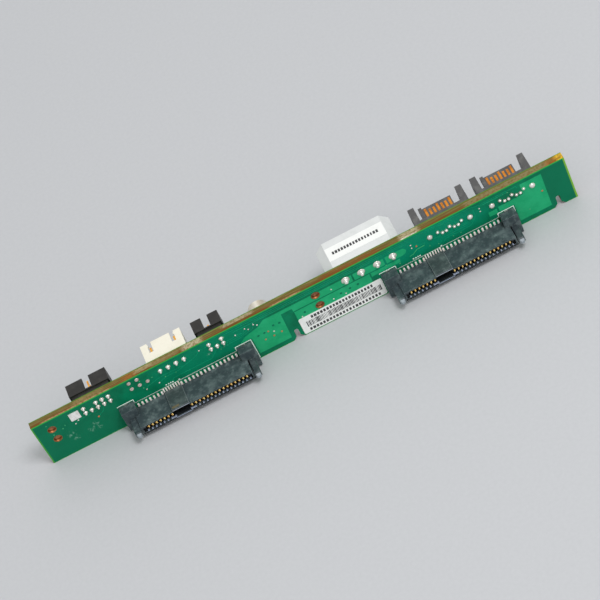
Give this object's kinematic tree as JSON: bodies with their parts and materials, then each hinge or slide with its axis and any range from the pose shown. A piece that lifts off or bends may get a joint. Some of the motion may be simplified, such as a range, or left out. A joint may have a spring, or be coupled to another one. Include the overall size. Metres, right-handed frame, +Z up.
{
  "type": "drive backplane board",
  "caption": "Narrow circuit board with two upright drive receptacles on its front face and power, data and signal cable headers on its back face.",
  "frame": {"origin": "middle of the board's bottom edge, half way through its thickness", "axes": "+X along the board towards the data headers, +Y from the receptacle face to the header face, +Z up across the board"},
  "size_m": [0.1712, 0.0226, 0.0175],
  "materials": {
    "green_laminate": "glossy green solder mask over glass laminate",
    "solder": "bright, slightly frosted solder",
    "label_film": "matt white label",
    "grey_black_nylon": "matt moulded, glass-filled",
    "white_nylon": "satin moulded",
    "cream_nylon": "satin moulded",
    "black_nylon": "matt moulded",
    "tinned_brass": "tin plated",
    "gilt_brass": "gold plated",
    "can_aluminium": "drawn can, satin",
    "black_epoxy": "moulded epoxy",
    "tan_ceramic": "fired ceramic body",
    "chip_ceramic": "glazed film on alumina"
  },
  "bodies": {
    "root": {"box_header_joints": "solder", "capacitor_base": "black_epoxy", "capacitor_can": "can_aluminium", "capacitor_leads": "tinned_brass", "chip_capacitors": "tan_ceramic", "chip_resistors": "chip_ceramic", "circuit_board": "green_laminate", "data_contact_joints": "solder", "data_lock_joints": "solder", "four_pin_header_housing": "cream_nylon", "four_pin_header_pins": "gilt_brass", "four_pin_joints": "solder", "front_label": "label_film", "left_data_header_board_locks": "tinned_brass", "left_data_header_contacts": "gilt_brass", "left_data_header_housing": "black_nylon", "left_receptacle_hold_downs": "tinned_brass", "left_receptacle_housing": "grey_black_nylon", "left_receptacle_port_contacts": "gilt_brass", "left_receptacle_power_contacts": "gilt_brass", "left_receptacle_signal_contacts": "gilt_brass", "logic_chip_case": "black_epoxy", "logic_chip_leads": "tinned_brass", "power_header_housing": "white_nylon", "power_header_label": "label_film", "power_header_pins": "tinned_brass", "power_joints": "solder", "right_data_header_board_locks": "tinned_brass", "right_data_header_contacts": "gilt_brass", "right_data_header_housing": "black_nylon", "right_receptacle_hold_downs": "tinned_brass", "right_receptacle_housing": "grey_black_nylon", "right_receptacle_port_contacts": "gilt_brass", "right_receptacle_power_contacts": "gilt_brass", "right_receptacle_signal_contacts": "gilt_brass", "six_pin_header_housing": "black_nylon", "six_pin_header_pins": "gilt_brass", "spare_hole_joints": "solder", "ten_pin_header_housing": "black_nylon", "ten_pin_header_pins": "gilt_brass", "tinned_pad": "solder"}
  },
  "joints": []
}
